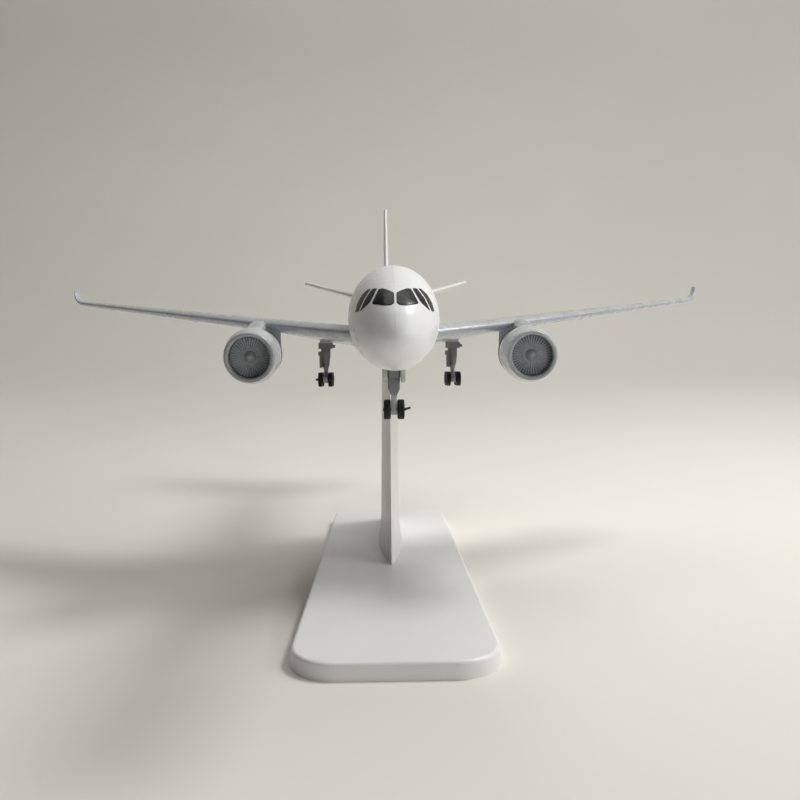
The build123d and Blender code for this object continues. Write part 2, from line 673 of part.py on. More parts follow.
def main_leg(x):
    """Main leg at station x. The same moulding serves both sides, so it isn't mirrored."""
    foot = MAIN_AXLE_Z - AXIS_Z
    head = MAIN_LEG_OUTLINE[-1][1]
    with BuildPart() as leg:
        # flange block with a lug on its port side, and a spigot up into the wing
        with BuildSketch(Plane.XY.offset(MAIN_FLANGE_FOOT)):
            with Locations((x, MAIN_GEAR_Y)):
                RectangleRounded(*MAIN_FLANGE_SIZE, 0.4)
        extrude(amount=MAIN_FLANGE_TOP - MAIN_FLANGE_FOOT)
        with BuildSketch(Plane.XY.offset(MAIN_FLANGE_FOOT + 0.2)):
            with Locations((x + LUG_REACH, MAIN_GEAR_Y)):
                Rectangle(LUG_SIZE[0], LUG_SIZE[1])
        extrude(amount=LUG_SIZE[2])
        with BuildSketch(Plane.XY.offset(MAIN_FLANGE_TOP)):
            with Locations((x, MAIN_GEAR_Y)):
                Circle(MAIN_SPIGOT_RADIUS)
        extrude(amount=MAIN_SPIGOT_HEIGHT)
        # cylinder, cone and thin lower strut, turned about the leg's axis
        with BuildSketch(Plane(origin=(x, MAIN_GEAR_Y, AXIS_Z), x_dir=(1, 0, 0), z_dir=(0, -1, 0))):
            with BuildLine():
                Polyline((0, foot), (MAIN_FOOT_HALF_WIDTH, foot), *MAIN_LEG_OUTLINE, (0, head), close=True)
            make_face()
        revolve(axis=Axis((x, MAIN_GEAR_Y, 0), (0, 0, 1)))
        # flat door strip with a slanted lower edge, and a hinge boss, on the starboard side
        with BuildSketch(Plane.YZ.offset(x + STRIP_X)):
            with BuildLine():
                Polyline(*[(MAIN_GEAR_Y + y, AXIS_Z + z) for y, z in STRIP_OUTLINE], close=True)
            make_face()
        extrude(amount=STRIP_THICKNESS)
        with BuildSketch(Plane.YZ.offset(x + HINGE_BOSS_X)):
            with Locations((MAIN_GEAR_Y, AXIS_Z - 12.2)):
                Circle(HINGE_BOSS_RADIUS)
        extrude(amount=-HINGE_BOSS_X)
        # bogie beam with an axle boss at each end
        with BuildSketch(Plane.YZ.offset(x - MAIN_FOOT_HALF_WIDTH)):
            with Locations((MAIN_GEAR_Y, MAIN_AXLE_Z)):
                SlotCenterToCenter(2 * BOGIE_HALF_BASE, 2 * BOGIE_END_RADIUS, rotation=-BOGIE_TILT)
            with Locations([(y, z) for _, y, z in BOGIE_AXLES]):
                Circle(AXLE_BORE_RADIUS, mode=Mode.SUBTRACT)
        extrude(amount=2 * MAIN_FOOT_HALF_WIDTH)
    return leg


# ---------------------------------------------------------------- screws
SLOT_LENGTH_SHARE = 1.3  # of the head's radius
SLOT_WIDTH_SHARE = 0.24
# shank radius, shank length, head radius, head height
WING_SCREW = (WING_SCREW_RADIUS, 4.0, 1.35, 0.9)
STAND_SCREW = (1.2, 9.0, 2.1, 1.1)
SHELL_SCREW = (1.0, 10.5, 1.9, 1.1)


def screw(x, y, seat_z, direction, radius, length, head_radius, head_height):
    """Cross-slotted screw; its shank points along direction (+1 up, -1 down) from the seat."""
    seat = Plane.XY.offset(seat_z)
    slot_length = SLOT_LENGTH_SHARE * head_radius
    slot_width = SLOT_WIDTH_SHARE * head_radius
    with BuildPart() as fastener:
        with BuildSketch(seat):
            with Locations((x, y)):
                Circle(radius)
        extrude(amount=direction * length)
        with BuildSketch(seat):
            with Locations((x, y)):
                Circle(head_radius)
        extrude(amount=-direction * head_height)
        head_face = fastener.faces().filter_by(Plane.XY).sort_by(Axis.Z)[-1 if direction < 0 else 0]
        fillet(head_face.edges(), 0.15)
        with BuildSketch(Plane.XY.offset(seat_z - direction * head_height)):
            with Locations((x, y)):
                Rectangle(slot_length, slot_width)
                Rectangle(slot_width, slot_length)
        extrude(amount=direction * head_height / 2, mode=Mode.SUBTRACT)
    return fastener


def screw_group(places, direction, size):
    """Screws of one size at the places given as x, y and the height of the head's seat."""
    with BuildPart() as group:
        for x, y, seat_z in places:
            add(screw(x, y, seat_z, direction, *size).part)
    return group


# ---------------------------------------------------------------- stand
COLUMN_Y = 3.0
# height over the base, half thickness, half chord, middle y
COLUMN_STATIONS = (
    (0.0, 3.6, 25.5, 6.2),
    (3.0, 3.05, 24.3, 6.1),
    (8.0, 2.65, 23.0, 5.9),
    (COLUMN_TOP_Z - BASE_HEIGHT, 2.05, 13.0, COLUMN_Y),
)
COLUMN_TONGUE_LENGTH = 12.0
COLUMN_TONGUE_THICKNESS = 2.4
COLUMN_TONGUE_HEIGHT = 5.6
SOCKET_CLEARANCE = 0.08
SOCKET_DEPTH = 6.0
SOCKET_WALL = 1.6
TENON_LENGTH = 34.0
TENON_THICKNESS = 3.6
TENON_DEPTH = 0.8
STAND_SCREW_YS = (-4.0, 16.0)
STAND_SCREW_SEAT = 1.5
STAND_SCREW_BOSS_RADIUS = 3.1
BASE_DRAFT = 0.35
BASE_EDGE_ROUNDING = 0.8
FRONT_CORNER_RADIUS = 9.5
REAR_CORNER_RADIUS = 2.5
RIB_FOOT_Z = 0.6
STAND_RIB_YS = (-56.0, -28.0, 31.0)
STAND_RIB_X = 11.0


def base_outline(z, grow):
    """Plan of the base at height z, larger all round by grow."""
    front_x = BASE_FRONT_HALF_WIDTH + grow
    rear_x = BASE_REAR_HALF_WIDTH + grow
    front_y = BASE_FRONT_Y - grow
    rear_y = BASE_REAR_Y + grow
    with BuildSketch(Plane.XY.offset(z)) as outline:
        with BuildLine():
            front_corners = ((-front_x, front_y), (front_x, front_y))
            Polyline(*front_corners, (rear_x, rear_y), (-rear_x, rear_y), close=True)
        make_face()
        fillet(outline.vertices().group_by(Axis.Y)[0], FRONT_CORNER_RADIUS + grow)
        fillet(outline.vertices().group_by(Axis.Y)[-1], REAR_CORNER_RADIUS + grow)
    return outline.sketch


def moulded_base(stand_screws):
    """Thin-walled tray, open underneath, with ribs, a slot for the tenon and two screw bosses."""
    ceiling = BASE_HEIGHT - BASE_WALL
    with BuildPart() as hollow:
        loft([base_outline(-1, BASE_DRAFT - BASE_WALL), base_outline(ceiling, -BASE_WALL)])
    with BuildPart() as ribs:
        with BuildSketch(Plane.XY.offset(RIB_FOOT_Z)):
            with Locations([(0, y) for y in STAND_RIB_YS]):
                Rectangle(3 * BASE_FRONT_HALF_WIDTH, 1.0)
            with GridLocations(2 * STAND_RIB_X, 1, 2, 1):
                Rectangle(1.0, LENGTH)
        extrude(amount=ceiling - RIB_FOOT_Z)
        add(hollow.part, mode=Mode.INTERSECT)
    with BuildPart() as base:
        loft([base_outline(0, BASE_DRAFT), base_outline(BASE_HEIGHT, 0)])
        fillet(base.faces().sort_by(Axis.Z)[-1].edges(), BASE_EDGE_ROUNDING)
        add(hollow.part, mode=Mode.SUBTRACT)
        add(ribs.part)
        with BuildSketch(Plane.XY.offset(STAND_SCREW_SEAT)):
            with Locations([(0, y) for y in STAND_SCREW_YS]):
                Circle(STAND_SCREW_BOSS_RADIUS)
        extrude(amount=ceiling - STAND_SCREW_SEAT)
        with BuildSketch(Plane.XY.offset(BASE_HEIGHT - TENON_DEPTH)):
            with Locations((0, COLUMN_STATIONS[0][3])):
                SlotOverall(TENON_LENGTH, TENON_THICKNESS, rotation=90)
        extrude(amount=TENON_DEPTH, mode=Mode.SUBTRACT)
        add(stand_screws.part, mode=Mode.SUBTRACT)
    return base


def moulded_column(stand_screws):
    """Lens-shaped blade, flared at the foot and slimmer towards the top, with a tongue for the airframe."""
    sections = []
    for height, half_thickness, half_chord, middle_y in COLUMN_STATIONS:
        with BuildSketch(Plane.XY.offset(BASE_HEIGHT + height)) as section:
            front = (0, middle_y - half_chord)
            rear = (0, middle_y + half_chord)
            with BuildLine():
                ThreePointArc(front, (half_thickness, middle_y), rear)
                ThreePointArc(rear, (-half_thickness, middle_y), front)
            make_face()
        sections.append(section.sketch)
    with BuildPart() as column:
        loft(sections[:3])
        loft(sections[2:])
        with BuildSketch(Plane.XY.offset(COLUMN_TOP_Z)):
            with Locations((0, COLUMN_Y)):
                SlotOverall(COLUMN_TONGUE_LENGTH, COLUMN_TONGUE_THICKNESS, rotation=90)
        extrude(amount=COLUMN_TONGUE_HEIGHT)
        chamfer(column.faces().sort_by(Axis.Z)[-1].edges(), 0.4)
        with BuildSketch(Plane.XY.offset(BASE_HEIGHT - TENON_DEPTH)):
            with Locations((0, COLUMN_STATIONS[0][3])):
                SlotOverall(TENON_LENGTH, TENON_THICKNESS, rotation=90)
        extrude(amount=TENON_DEPTH)
        add(stand_screws.part, mode=Mode.SUBTRACT)
    return column


# ---------------------------------------------------------------- fuselage shells
SHELL_SCREW_YS = (-54.0, 46.0)
SHELL_SCREW_CLEARANCE = 0.15
SHELL_SCREW_SEAT_DEPTH = 1.9
PILLAR_RADIUS = 2.9
CRADLE_HALF_LENGTH = 2.0
CRADLE_HALF_WIDTH = 6.5
CRADLE_HEIGHT = 2.2
NOSE_BOSS_HEIGHT = 2.4


def shell_screw_seat(y):
    return AXIS_Z + body_bottom(y) + SHELL_SCREW_SEAT_DEPTH


def pillars(outside):
    """Solid posts on the screw axes, from keel to crown, trimmed to the outside shape."""
    with BuildPart() as posts:
        with BuildSketch(Plane.XY.offset(AXIS_Z - BODY_HALF_HEIGHT)):
            with Locations([(0, y) for y in SHELL_SCREW_YS]):
                Circle(PILLAR_RADIUS)
        extrude(amount=2 * BODY_HALF_HEIGHT)
        add(outside.part, mode=Mode.INTERSECT)
    return posts


def casting_block(x_size, y_range, z_range):
    """Plain rib or block on the centreline, inside a shell."""
    y_size = y_range[1] - y_range[0]
    with BuildPart() as block:
        with BuildSketch(Plane.XY.offset(z_range[0])):
            with Locations((0, (y_range[0] + y_range[1]) / 2)):
                Rectangle(x_size, y_size)
        extrude(amount=z_range[1] - z_range[0])
    return block


def shell_half(whole, keep, cutters):
    split_plane = Plane.XY.offset(AXIS_Z - SPLIT_DROP)
    with BuildPart() as shell:
        add(whole.part)
        split(bisect_by=split_plane, keep=keep)
        for cutter in cutters:
            add(cutter.part, mode=Mode.SUBTRACT)
    return shell


def lower_fittings():
    """Column socket block, wing cradles and nose gear boss."""
    half_length = COLUMN_TONGUE_LENGTH / 2 + SOCKET_WALL
    inside_floor = AXIS_Z - BELLY_DROP + 1
    blocks = [
        casting_block(
            COLUMN_TONGUE_THICKNESS + 2 * SOCKET_WALL,
            (COLUMN_Y - half_length, COLUMN_Y + half_length),
            (inside_floor, COLUMN_TOP_Z + SOCKET_DEPTH + SOCKET_WALL),
        )
    ]
    for y in WING_SCREW_YS:
        y_range = (y - CRADLE_HALF_LENGTH, y + CRADLE_HALF_LENGTH)
        z_range = (TONGUE_BOTTOM - CRADLE_HEIGHT, TONGUE_BOTTOM)
        blocks.append(casting_block(2 * CRADLE_HALF_WIDTH, y_range, z_range))
    floor = AXIS_Z - BODY_HALF_HEIGHT + 0.6
    blocks.append(casting_block(5.0, (NOSE_GEAR_Y - 3, NOSE_GEAR_Y + 3), (floor, floor + NOSE_BOSS_HEIGHT)))
    return blocks


def column_socket():
    length = COLUMN_TONGUE_LENGTH + 2 * SOCKET_CLEARANCE
    thickness = COLUMN_TONGUE_THICKNESS + 2 * SOCKET_CLEARANCE
    with BuildPart() as socket:
        with BuildSketch(Plane.XY.offset(COLUMN_TOP_Z - 1)):
            with Locations((0, COLUMN_Y)):
                SlotOverall(length, thickness, rotation=90)
        extrude(amount=SOCKET_DEPTH + 1)
    return socket


def shell_screw_holes():
    """Clearance hole and head recess for each shell screw, from below."""
    shank_radius, _, head_radius, _ = SHELL_SCREW
    with BuildPart() as holes:
        for y in SHELL_SCREW_YS:
            seat = shell_screw_seat(y)
            with BuildSketch(Plane.XY.offset(seat)):
                with Locations((0, y)):
                    Circle(shank_radius + SHELL_SCREW_CLEARANCE)
            extrude(amount=BODY_HALF_HEIGHT)
            with BuildSketch(Plane.XY.offset(seat)):
                with Locations((0, y)):
                    Circle(head_radius + SHELL_SCREW_CLEARANCE)
            extrude(amount=-SHELL_SCREW_SEAT_DEPTH - 1)
    return holes


# ---------------------------------------------------------------- assembly
stand_screws = screw_group([(0, y, STAND_SCREW_SEAT) for y in STAND_SCREW_YS], 1, STAND_SCREW)
fuselage_screws = screw_group([(0, y, shell_screw_seat(y)) for y in SHELL_SCREW_YS], 1, SHELL_SCREW)
wing_screw_places = [(x, y, TONGUE_TOP) for x in (-WING_SCREW_X, WING_SCREW_X) for y in WING_SCREW_YS]
wing_screws = screw_group(wing_screw_places, -1, WING_SCREW)

pieces = {
    "stand_base": moulded_base(stand_screws),
    "stand_column": moulded_column(stand_screws),
    "stand_screws": stand_screws,
    "fuselage_screws": fuselage_screws,
    "wing_screws": wing_screws,
}

port_leg = main_leg(MAIN_GEAR_X)
starboard_leg = main_leg(-MAIN_GEAR_X)
with BuildPart() as port_wing:
    add(cast_wing().part)
    add(port_leg.part, mode=Mode.SUBTRACT)
port_pylon = cast_pylon(port_wing)
port_nacelle = cast_nacelle(port_pylon, port_wing)
fin = moulded_fin()
for name, port_piece in (
    ("wing", port_wing),
    ("engine_pylon", port_pylon),
    ("nacelle", port_nacelle),
    ("fan", moulded_fan()),
    ("tailplane", moulded_tailplane()),
):
    pieces["port_" + name] = port_piece
    pieces["starboard_" + name] = mirrored(port_piece)
pieces["tail_fin"] = fin

# nose gear
nose_gear_leg = nose_leg()
port_door = nose_door()
starboard_door = mirrored(port_door)
pieces["nose_gear_leg"] = nose_gear_leg
pieces["nose_gear_door_port"] = port_door
pieces["nose_gear_door_starboard"] = starboard_door
pieces["nose_axle"], pieces["nose_wheel_port"], pieces["nose_wheel_starboard"] = nose_axle()

# main gear: two axles on each leg, each with an outer and an inner wheel
for side, x, leg in (("port", MAIN_GEAR_X, port_leg), ("starboard", -MAIN_GEAR_X, starboard_leg)):
    pieces[side + "_gear_leg"] = leg
    for end, y, z in BOGIE_AXLES:
        minus_stub = 0.7 if (side, end) == ("starboard", "front") else 0.12
        axle, plus_wheel, minus_wheel = wheelset(x, y, z, MAIN_WHEEL_X, MAIN_WHEEL_WIDTH, (minus_stub, 0.12))
        outer_wheel, inner_wheel = (plus_wheel, minus_wheel) if side == "port" else (minus_wheel, plus_wheel)
        pieces[f"{side}_{end}_axle"] = axle
        pieces[f"{side}_{end}_wheel_outer"] = outer_wheel
        pieces[f"{side}_{end}_wheel_inner"] = inner_wheel

# fuselage: one hollow body with its fittings, parted into two shells
outside = fuselage_outside()
with BuildPart() as fitted_body:
    add(outside.part)
    add(belly_fairing().part)
    add(fuselage_inside().part, mode=Mode.SUBTRACT)
    add(pillars(outside).part)
    for block in lower_fittings():
        add(block.part)
wings = [pieces["port_wing"], pieces["starboard_wing"]]
tailplanes = [pieces["port_tailplane"], pieces["starboard_tailplane"]]
nose_gear = [nose_gear_leg, port_door, starboard_door]
upper_cutters = wings + tailplanes + [fin, fuselage_screws]
lower_cutters = wings + tailplanes + nose_gear + [wing_screws, column_socket(), shell_screw_holes()]
pieces["fuselage_upper_shell"] = shell_half(fitted_body, Keep.TOP, upper_cutters)
pieces["fuselage_lower_shell"] = shell_half(fitted_body, Keep.BOTTOM, lower_cutters)

os.makedirs("parts", exist_ok=True)
for name, piece in pieces.items():
    piece.part.label = name
    export_step(piece.part, f"parts/{name}.step")
    print(name, len(piece.part.solids()), round(piece.part.volume, 2))
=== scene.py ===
from math import cos, pi, radians, sin

import bmesh
import bpy
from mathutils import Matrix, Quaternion, Vector
from mathutils.bvhtree import BVHTree


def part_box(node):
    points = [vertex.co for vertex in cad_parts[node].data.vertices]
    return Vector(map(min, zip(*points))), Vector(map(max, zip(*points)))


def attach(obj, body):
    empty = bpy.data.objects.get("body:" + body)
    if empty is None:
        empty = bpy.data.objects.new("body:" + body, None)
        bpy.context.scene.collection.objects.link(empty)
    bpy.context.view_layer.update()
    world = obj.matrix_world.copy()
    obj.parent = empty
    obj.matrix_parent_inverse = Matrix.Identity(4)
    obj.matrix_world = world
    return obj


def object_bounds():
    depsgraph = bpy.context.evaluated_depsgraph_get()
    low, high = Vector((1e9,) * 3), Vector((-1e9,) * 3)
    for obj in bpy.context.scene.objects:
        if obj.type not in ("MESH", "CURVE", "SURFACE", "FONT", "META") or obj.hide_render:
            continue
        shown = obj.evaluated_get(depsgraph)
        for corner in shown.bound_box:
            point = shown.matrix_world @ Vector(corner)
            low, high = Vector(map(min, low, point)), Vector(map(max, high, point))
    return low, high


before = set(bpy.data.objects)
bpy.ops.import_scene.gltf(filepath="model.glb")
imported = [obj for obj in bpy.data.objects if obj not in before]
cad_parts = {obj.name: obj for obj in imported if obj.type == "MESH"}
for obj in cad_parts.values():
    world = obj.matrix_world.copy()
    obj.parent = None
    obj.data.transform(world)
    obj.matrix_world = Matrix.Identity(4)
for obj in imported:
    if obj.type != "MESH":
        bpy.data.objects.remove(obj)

cad_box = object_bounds()
MM = 0.001


# ---------------------------------------------------------------- shader building
def srgb(red, green, blue):
    """Colour from 0-255 display values, as the linear colour a shader takes."""
    linear = []
    for value in (red, green, blue):
        share = value / 255
        linear.append(share / 12.92 if share <= 0.04045 else ((share + 0.055) / 1.055) ** 2.4)
    return (*linear, 1.0)


class Paint:
    """A node material with one Principled shader, and short calls for the nodes it needs."""

    def __init__(self, name, roughness=0.4, metallic=0.0, coat=0.0, coat_roughness=0.1, specular=0.5):
        self.material = bpy.data.materials.new(name)
        self.material.use_nodes = True
        self.tree = self.material.node_tree
        self.shader = self.tree.nodes["Principled BSDF"]
        self.shader.inputs["Roughness"].default_value = roughness
        self.shader.inputs["Metallic"].default_value = metallic
        self.shader.inputs["Coat Weight"].default_value = coat
        self.shader.inputs["Coat Roughness"].default_value = coat_roughness
        self.shader.inputs["Specular IOR Level"].default_value = specular
        coordinates = self.tree.nodes.new("ShaderNodeTexCoord")
        self.place = coordinates.outputs["Object"]
        split = self.tree.nodes.new("ShaderNodeSeparateXYZ")
        self.tree.links.new(self.place, split.inputs[0])
        self.x, self.y, self.z = split.outputs

    def put(self, value, socket):
        if isinstance(value, bpy.types.NodeSocket):
            self.tree.links.new(value, socket)
        else:
            socket.default_value = value

    def math(self, operation, first, second=0.0, third=0.0):
        node = self.tree.nodes.new("ShaderNodeMath")
        node.operation = operation
        for value, socket in zip((first, second, third), node.inputs):
            self.put(value, socket)
        return node.outputs[0]

    def largest(self, first, *others):
        """Largest of several values."""
        for other in others:
            first = self.math("MAXIMUM", first, other)
        return first

    def mapped(self, value, start, end, low=0.0, high=1.0):
        """low where value is start, high where it is end, and a smooth step between."""
        node = self.tree.nodes.new("ShaderNodeMapRange")
        node.interpolation_type = "SMOOTHSTEP"
        node.clamp = True
        for item, socket in zip((value, start, end, low, high), node.inputs):
            self.put(item, socket)
        return node.outputs[0]

    def noise(self, size, detail, stretch=None):
        """Noise from 0 to 1 whose features are about size metres across."""
        node = self.tree.nodes.new("ShaderNodeTexNoise")
        node.inputs["Scale"].default_value = 1 / size
        node.inputs["Detail"].default_value = detail
        place = self.place
        if stretch:
            mapping = self.tree.nodes.new("ShaderNodeMapping")
            mapping.inputs["Scale"].default_value = stretch
            self.tree.links.new(self.place, mapping.inputs["Vector"])
            place = mapping.outputs[0]
        self.tree.links.new(place, node.inputs["Vector"])
        return node.outputs["Fac"]

    def specks(self, spacing, radius, share):
        """Sparse round specks: 1 inside a speck, 0 elsewhere. share is how many cells hold one."""
        node = self.tree.nodes.new("ShaderNodeTexVoronoi")
        node.inputs["Scale"].default_value = 1 / spacing
        self.tree.links.new(self.place, node.inputs["Vector"])
        edge = self.mapped(node.outputs["Distance"], radius / spacing, 0.6 * radius / spacing)
        tone = self.tree.nodes.new("ShaderNodeSeparateColor")
        self.tree.links.new(node.outputs["Color"], tone.inputs[0])
        chosen = self.math("GREATER_THAN", tone.outputs[0], 1 - share)
        return self.math("MULTIPLY", edge, chosen)

    def mix(self, share, first, second):
        node = self.tree.nodes.new("ShaderNodeMix")
        node.data_type = "RGBA"
        self.put(share, node.inputs[0])
        self.put(first, node.inputs[6])
        self.put(second, node.inputs[7])
        return node.outputs[2]

    def line(self, distance, half_width):
        """1 on a line where distance is 0, falling to 0 at twice half_width."""
        return self.mapped(self.math("ABSOLUTE", distance), 2 * half_width, 0.5 * half_width)

    def inside(self, value, low, high, soft):
        """1 where value lies between low and high."""
        rising = self.mapped(value, low - soft, low + soft)
        falling = self.mapped(value, high - soft, high + soft, 1.0, 0.0)
        return self.math("MULTIPLY", rising, falling)

    def bump(self, height, distance, strength, base=None):
        node = self.tree.nodes.new("ShaderNodeBump")
        node.inputs["Strength"].default_value = strength
        node.inputs["Distance"].default_value = distance
        self.tree.links.new(height, node.inputs["Height"])
        if base is not None:
            self.tree.links.new(base, node.inputs["Normal"])
        return node.outputs[0]

    def finish(self, colour, normal, roughness=None):
        self.put(colour, self.shader.inputs["Base Color"])
        self.put(normal, self.shader.inputs["Normal"])
        if roughness is not None:
            self.put(roughness, self.shader.inputs["Roughness"])
        return self.material


# ---------------------------------------------------------------- places on the model
AXIS_Z = 72 * MM  # fuselage centreline above the table

# the wing's plan at the root, at the kink and where the tip bends up: x, leading edge y, chord
WING_ROOT = (6.5 * MM, -40.7 * MM, 47 * MM)
WING_KINK = (33 * MM, -21.6 * MM, 27 * MM)
WING_BEND = (92 * MM, 19.1 * MM, 8.7 * MM)
# joints that run along the span: share of the chord in front of them, and their reach in x
SLAT_SHARE = 0.13
FLAP_SHARE = 0.74
SLAT_REACH = (14 * MM, 89 * MM)
FLAP_REACH = (10 * MM, 86 * MM)
# joints between the slats and between the flaps, as x in millimetres
SLAT_ENDS = (30.5, 38.9, 47.4, 54.3, 62.0, 69.0, 76.2, 81.2, 84.4, 89.0)
FLAP_ENDS = (32.0, 58.0, 72.0, 86.0)
JOINT_HALF_WIDTH = 0.09 * MM

# the engine's axis is the middle of its fan, and the lip is the front of the nacelle
fan_low, fan_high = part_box("port_fan")
ENGINE_X = (fan_low[0] + fan_high[0]) / 2
ENGINE_Z = (fan_low[2] + fan_high[2]) / 2
INLET_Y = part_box("port_nacelle")[0][1]
LIP_RADIUS = 5.4 * MM
LIP_LENGTH = 1.0 * MM
THROAT_RADIUS = 4.98 * MM
BARREL_RADIUS = 6.85 * MM
COWL_JOINT_BACK = 9.5 * MM
NACELLE_JOINT_HALF_WIDTH = 0.05 * MM
# small oval vent beside the engine's axis: distance behind the lip, height, and half its size
VENT_BACK = 3.6 * MM
VENT_HEIGHT = -2.6 * MM
VENT_HALF_LENGTH = 0.34 * MM
VENT_HALF_HEIGHT = 0.55 * MM
FAN_FACE_Y = INLET_Y + 3.0 * MM  # the disc that the ribs stand on
FAN_HUB_RADIUS = 2.1 * MM

STRUT_TOP_Z = AXIS_Z - 15.4 * MM  # where a gear leg's housing ends


# ---------------------------------------------------------------- materials
def white_enamel():
    """Gloss enamel on die-cast metal: orange peel, slight mottling and a little dust."""
    paint = Paint("white_enamel", coat=0.08, coat_roughness=0.05, specular=0.16)
    mottle = paint.mapped(paint.noise(18 * MM, 3.0), 0.35, 0.7)
    cloudy = paint.mix(mottle, srgb(236, 236, 236), srgb(229, 229, 229))
    dust = paint.specks(2.6 * MM, 0.09 * MM, 0.10)
    colour = paint.mix(paint.math("MULTIPLY", dust, 0.55), cloudy, srgb(120, 116, 106))
    peel = paint.bump(paint.noise(1.1 * MM, 2.0), 0.006 * MM, 0.4)
    normal = paint.bump(paint.noise(0.16 * MM, 1.0), 0.001 * MM, 0.3, peel)
    roughness = paint.mapped(paint.noise(6 * MM, 4.0), 0.3, 0.75, 0.26, 0.36)
    return paint.finish(colour, normal, roughness)


def wing_plan(paint, span, column):
    """Leading edge y (column 1) or chord (column 2) at a distance span from the centre plane."""
    kink_x = WING_KINK[0]
    inner_slope = (WING_KINK[column] - WING_ROOT[column]) / (kink_x - WING_ROOT[0])
    outer_slope = (WING_BEND[column] - WING_KINK[column]) / (WING_BEND[0] - kink_x)
    at_centre = WING_ROOT[column] - inner_slope * WING_ROOT[0]
    inner = paint.math("MULTIPLY_ADD", paint.math("MINIMUM", span, kink_x), inner_slope, at_centre)
    past_kink = paint.math("MAXIMUM", paint.math("SUBTRACT", span, kink_x), 0.0)
    return paint.math("MULTIPLY_ADD", past_kink, outer_slope, inner)


def wing_enamel():
    """Blue-grey enamel with engraved slat, flap and aileron joints, and chips on the leading edge."""
    paint = Paint("wing_enamel", coat=0.4, coat_roughness=0.1, specular=0.4)
    span = paint.math("ABSOLUTE", paint.x)
    leading = wing_plan(paint, span, 1)
    chord = wing_plan(paint, span, 2)
    behind = paint.math("SUBTRACT", paint.y, leading)
    share = paint.math("DIVIDE", behind, chord)

    joints = []
    for joint_share, reach in ((SLAT_SHARE, SLAT_REACH), (FLAP_SHARE, FLAP_REACH)):
        distance = paint.math("MULTIPLY", paint.math("SUBTRACT", share, joint_share), chord)
        joint = paint.line(distance, JOINT_HALF_WIDTH)
        joints.append(paint.math("MULTIPLY", joint, paint.inside(span, *reach, 0.1 * MM)))
    on_slat = paint.mapped(share, SLAT_SHARE, SLAT_SHARE - 0.005)
    on_flap = paint.mapped(share, FLAP_SHARE - 0.005, FLAP_SHARE)
    for ends, on_panel in ((SLAT_ENDS, on_slat), (FLAP_ENDS, on_flap)):
        for x in ends:
            joint = paint.line(paint.math("SUBTRACT", span, x * MM), JOINT_HALF_WIDTH)
            joints.append(paint.math("MULTIPLY", joint, on_panel))
    lines = paint.largest(*joints)

    mottle = paint.mapped(paint.noise(9 * MM, 4.0), 0.3, 0.75)
    colour = paint.mix(mottle, srgb(174, 177, 182), srgb(165, 168, 173))
    colour = paint.mix(paint.math("MULTIPLY", lines, 0.22), colour, srgb(96, 98, 100))
    edge = paint.mapped(behind, 1.4 * MM, 0.2 * MM)
    chipped = paint.math("MULTIPLY", edge, paint.specks(1.1 * MM, 0.26 * MM, 0.35))
    colour = paint.mix(paint.math("MULTIPLY", chipped, 0.5), colour, srgb(205, 206, 204))
    soiled = paint.math("MULTIPLY", edge, paint.specks(1.9 * MM, 0.22 * MM, 0.3))
    colour = paint.mix(paint.math("MULTIPLY", soiled, 0.6), colour, srgb(84, 84, 82))
    peel = paint.bump(paint.noise(0.8 * MM, 2.0), 0.006 * MM, 0.4)
    engraved = paint.math("SUBTRACT", 1.0, paint.math("MAXIMUM", lines, chipped))
    normal = paint.bump(engraved, 0.03 * MM, 0.35, peel)
    roughness = paint.mapped(paint.noise(4 * MM, 4.0), 0.3, 0.75, 0.22, 0.34)
    return paint.finish(colour, normal, roughness)


def engine_place(paint):
    """How far outboard of and above the nearer engine's axis a point is, and its radius."""
    across = paint.math("SUBTRACT", paint.math("ABSOLUTE", paint.x), ENGINE_X)
    height = paint.math("SUBTRACT", paint.z, ENGINE_Z)
    squares = paint.math("ADD", paint.math("POWER", across, 2.0), paint.math("POWER", height, 2.0))
    return across, height, paint.math("SQRT", squares)


